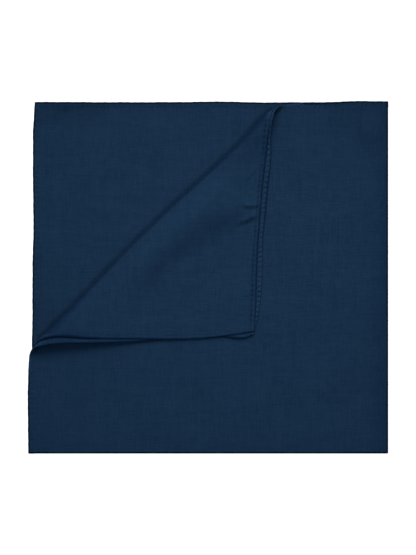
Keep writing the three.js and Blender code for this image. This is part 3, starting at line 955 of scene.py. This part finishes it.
def clothMaterial(name, tone, seamShade, puckerHeight, puckerLine):
    # plain weave: each thread's round height, over and under its neighbours in turn, warp against weft
    made = Surface(name)

    def mapped(key):
        place = made.add("ShaderNodeUVMap", {"uv_map": key})
        return made.add("ShaderNodeVectorMath", {"operation": "SCALE"}, _0=place, Scale=1 / millimetre)

    def noise(vector, scale, detail):
        return made.add(
            "ShaderNodeTexNoise", {"noise_dimensions": "2D"}, Vector=vector, Scale=scale, Detail=detail
        ) - 0.5

    def stretched(across, along, offset, detail):
        return noise(made.add("ShaderNodeCombineXYZ", _0=across + offset, _1=along), 1.0, detail)

    def crossed(across, along, offsets, detail):
        # the same noise stretched along the warp and along the weft
        lengthways = stretched(x * across, y * along, offsets[0], detail)
        return lengthways + stretched(y * across, x * along, offsets[1], detail)

    def bell(distance, width):
        # 1 at no distance, falling as the exponential of minus its square
        aside = distance * (1 / width)
        return (aside * aside * -1).maths("EXPONENT")

    cloth = mapped("cloth")
    x, y = made.split(cloth)
    wander = noise(cloth, cotton["wanderScale"], 2.0)
    a = (x + wander * cotton["warpWander"]) * (1 / cotton["thread"])
    b = (y - wander * cotton["weftWander"]) * (1 / cotton["thread"])
    sineA, sineB = (a * math.pi).maths("SINE"), (b * math.pi).maths("SINE")
    over = sineA * sineB * cotton["crossing"]
    warp = sineA.maths("ABSOLUTE") * (over + (1 - cotton["crossing"]))
    weft = sineB.maths("ABSOLUTE") * ((1 - cotton["crossing"]) - over)
    weave = warp.maths("MAXIMUM", weft)

    # tones: of each thread, of slubs along and across, of broad streaks and of the whole cloth
    jump, scale = cotton["threadJump"], cotton["threadScale"]
    threads = stretched(a.maths("FLOOR") * jump, y * scale, offset=0, detail=3.0)
    threads = threads + stretched(b.maths("FLOOR") * jump, x * scale, offset=91, detail=3.0)
    slubs = crossed(**cotton["slub"])
    shade = threads * cotton["threadTone"] + slubs * cotton["slubTone"]
    shade = shade + crossed(**cotton["streak"]) * cotton["streakTone"]
    shade = shade + noise(cloth, cotton["cloudScale"], 3.0) * cotton["cloudTone"]
    shade = shade + (weave * cotton["weaveTone"] + cotton["plainTone"])

    # painted shade: darker along the outline, the folds and the turned corner's edges, where shadow falls
    objectPlace = made.add("ShaderNodeTexCoord", output=3)  # its Object output
    objectX, objectY = made.split(objectPlace)
    fromRight = halfWidth - objectX * (1 / millimetre)
    fromFolds = fromRight.maths("MINIMUM", objectY * (1 / millimetre) + halfDepth)
    outline, laidEdge = made.split(mapped("outline"))
    insideBrow, outsideFold = made.split(mapped("brow"))
    for distance, width, ramp, most, depth in (
        (outline, cotton["rimWidth"], cotton["rimRamp"], 1.0, cotton["rimShade"]),
        (fromFolds, cotton["rimWidth"], cotton["rimRamp"], 1.0, cotton["foldShade"]),
        (fromRight, cotton["turnWidth"], cotton["turnWidth"], 1.0, cotton["turnShade"]),
        (laidEdge, cotton["laidWidth"], cotton["laidRamp"], cotton["laidMost"], cotton["laidShade"]),
        (insideBrow, cotton["browWidth"], cotton["browWidth"], 1.0, cotton["browShade"]),
    ):
        near = ((width - distance) * (1 / ramp)).maths("MINIMUM", most).maths("MAXIMUM", 0.0)
        shade = shade * (1 - near * depth)

    # painted shade: a dark line in the stitched groove, stronger and weaker along its way
    travel, fromEdge = made.split(mapped("seam"))
    swing = stretched(travel * cotton["seamScale"], along=9.0, offset=5, detail=2.0) * cotton["seamSwing"]
    strength = (swing + 1).maths("MAXIMUM", cotton["seamLeast"])
    groove = bell(fromEdge - hem["stitchLine"], cotton["seamWidth"])
    shade = shade * (1 - groove * (strength * 0.5 + 0.5) * seamShade) * tone

    # puckers beside the stitches, one to each, fading away from the stitch line
    drift = stretched(travel * cotton["driftScale"], along=3.0, offset=5, detail=2.0) * cotton["drift"]
    beat = ((travel + drift) * (2 * math.pi / hem["stitchPitch"])).maths("COSINE")
    pucker = beat * bell(fromEdge - puckerLine, cotton["puckerReach"]) * strength

    # the colour turns to a purer blue where it darkens, in the cloth's own tones and in the painted shade
    # alike
    powers = [shade.maths("POWER", power) for power in cotton["deepening"]]
    deepened = made.add("ShaderNodeCombineXYZ", _0=powers[0], _1=powers[1], _2=powers[2])
    colour = made.add("ShaderNodeVectorMath", {"operation": "MULTIPLY"}, _0=cotton["colour"], _1=deepened)

    # the weave, the slubs, the puckers, and the layer under the fold pressed in beside it
    height = weave * cotton["weaveHeight"] + slubs * cotton["slubHeight"] + pucker * puckerHeight
    height = height - bell(outsideFold, cotton["dentWidth"]) * cotton["dentDepth"]
    bump = made.add("ShaderNodeBump", Strength=1.0, Distance=millimetre, Height=height)
    return made.finish({
        "Base Color": colour, "Roughness": cotton["roughness"], "Specular IOR Level": cotton["specular"],
        "Normal": bump,
    })


def plainMaterial(name, values):
    return Surface(name).finish(values)


# tone, darkness of the painted groove shade, height of the puckers and how far in from the edge they are
# strongest
clothLook = clothMaterial("navyCotton", 1.0, 0.1, 0.07, 3.3)
hemLook = clothMaterial("navyHem", 1.03, 0.1, 0.1, 3.3)
backHemLooks = {
    # this hem's groove holds a stronger painted shade
    3: clothMaterial("navyPuckeredHem", 1.02, 0.3, 0.17, 3.2),
    4: clothMaterial("navyBeadedHem", 1.12, 0.1, 0.3, 1.9),
}
threadLook = plainMaterial("navyThread", {
    "Base Color": (0.0075, 0.021, 0.043, 1), "Roughness": 0.8, "Specular IOR Level": 0.1,
})
print("materials made")


# Pieces

sheets = {  # the layer, and the node that it stands for
    "bottom": (1, "under_layers"),
    "second": (2, "under_layers"),
    "turned": (3, "turned_layer"),
    "top": (4, "top_layer"),
}
for layerName, (level, node) in sheets.items():
    makeSheet = upperSheet if level > 2 else lowerSheet
    makeHem = upperHem if level > 2 else lowerHem
    sheet = makeSheet(level, layerName + "Sheet", clothLook)
    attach(sheet, "root")
    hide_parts(node)
    pieces, tubes = [], []
    for number, side in enumerate(("left", "back")):
        seed = level * 10 + number
        name = f"{layerName}{side.title()}Hem"
        look = backHemLooks.get(level, hemLook) if side == "back" else hemLook
        strip, stitches = makeHem(level, side, name, seed, look)
        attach(strip, "root")
        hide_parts(f"{layerName}_{side}_hem")
        pieces.append(strip)
        tubes.append(stitches)
    thread = stitchObject(layerName + "Stitches", np.concatenate(tubes), threadLook)
    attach(thread, "root")
    print(layerName, "layer made")


# Stage, light and camera

floorSize = 40.0  # metres, so that its edge stays out of sight in low views
half = floorSize / 2
mesh = bpy.data.meshes.new("floor")
mesh.from_pydata([(-half, -half, 0), (half, -half, 0), (half, half, 0), (-half, half, 0)], [], [(0, 1, 2, 3)])
mesh.materials.append(plainMaterial("whiteFloor", {
    "Base Color": (0.35, 0.35, 0.35, 1), "Roughness": 1.0, "Specular IOR Level": 0.0,
    "Emission Color": (1, 1, 1, 1), "Emission Strength": 0.88,
}))
floor = bpy.data.objects.new("floor", mesh)
bpy.context.scene.collection.objects.link(floor)

lampColour = (1.05, 1.0, 0.97)
lights = {  # kind, place and aim in metres, settings
    "keyLight": ("AREA", (-0.33, 2.2, 2.05), (0, 0, 0), {"shape": "DISK", "size": 2.2, "energy": 113}),
    "topLight": ("SPOT", (0.03, 0.12, 1.6), (0.022, 0.016, 0), {
        "shadow_soft_size": 0.12, "energy": 28, "spot_size": math.radians(15.5), "spot_blend": 1,
    }),
}
for name, (kind, place, aim, settings) in lights.items():
    lamp = bpy.data.lights.new(name, kind)
    lamp.color = lampColour
    for key, value in settings.items():
        setattr(lamp, key, value)
    made = bpy.data.objects.new(name, lamp)
    made.location = place
    reach = np.subtract(aim, place)
    made.rotation_euler = (math.atan2(math.hypot(*reach[:2]), -reach[2]), 0, math.atan2(-reach[0], reach[1]))
    bpy.context.scene.collection.objects.link(made)

surroundings = {"colour": (0.76, 0.97, 1.1, 1), "strength": 0.4}
world = bpy.data.worlds.new("softWhite")
world.use_nodes = True
background = world.node_tree.nodes["Background"]
background.inputs["Color"].default_value = surroundings["colour"]
background.inputs["Strength"].default_value = surroundings["strength"]
scene = bpy.context.scene
scene.world = world
scene.view_settings.view_transform = "Standard"

view = {"lens": 100, "sensor": 36, "place": (-0.0002, 0.00023, 1.1796)}  # straight above, looking down
cameraData = bpy.data.cameras.new("camera")
cameraData.lens = view["lens"]
cameraData.sensor_width = view["sensor"]
cameraData.sensor_fit = "AUTO"
camera = bpy.data.objects.new("camera", cameraData)
camera.location = view["place"]
scene.collection.objects.link(camera)
scene.camera = camera
print("stage, lights and camera made")
